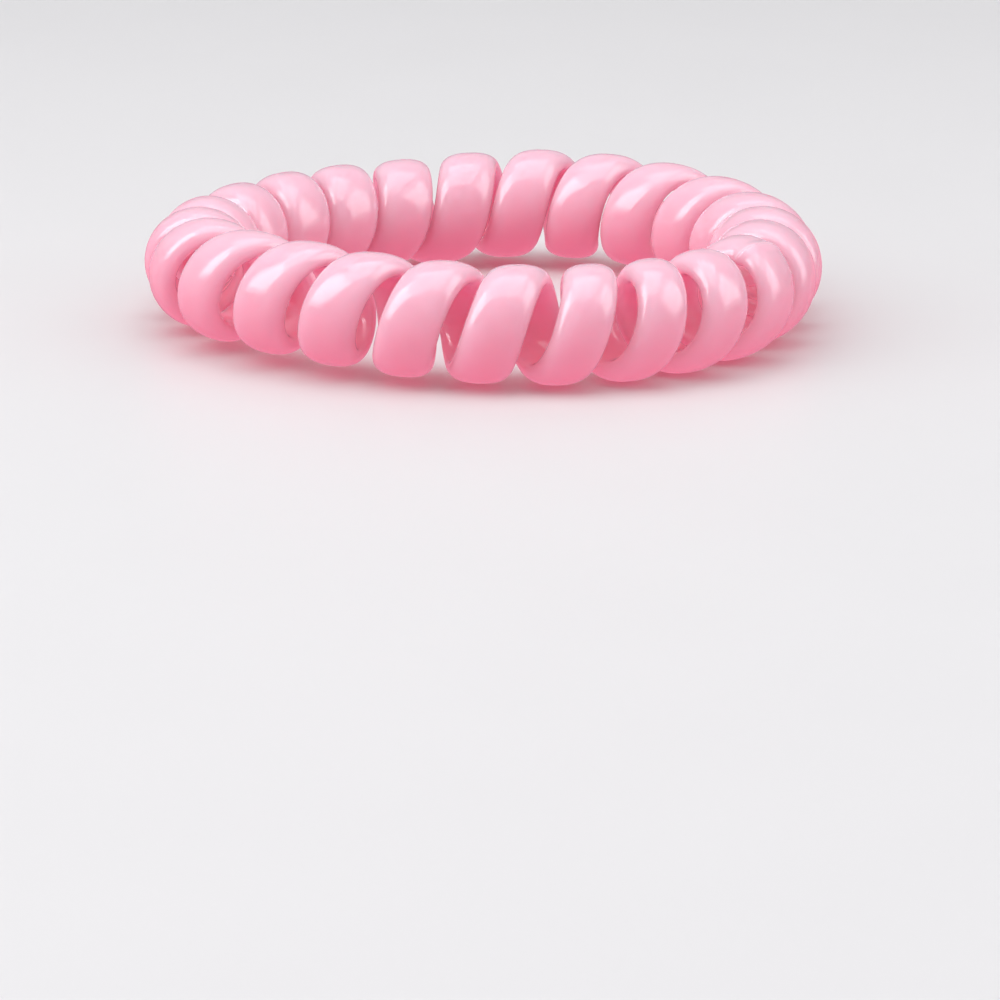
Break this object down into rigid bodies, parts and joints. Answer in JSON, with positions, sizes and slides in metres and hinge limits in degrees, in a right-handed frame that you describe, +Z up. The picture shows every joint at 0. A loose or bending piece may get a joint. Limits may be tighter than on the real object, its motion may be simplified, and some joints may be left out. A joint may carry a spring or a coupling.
{
  "type": "spiral hair tie",
  "caption": "Closed ring of coiled, flattened plastic cord that stretches round a ponytail or wrist.",
  "frame": {"origin": "middle of the ring's box, at the level of the surface it lies on", "axes": "+Z up, square to the ring; +X towards the ring's blunter end; -Y towards the side seen in front"},
  "size_m": [0.0566, 0.056, 0.0102],
  "materials": {
    "pink_tpu": "glossy translucent pink thermoplastic polyurethane, smooth as moulded"
  },
  "bodies": {
    "root": {"coil_ring": "pink_tpu"}
  },
  "joints": []
}
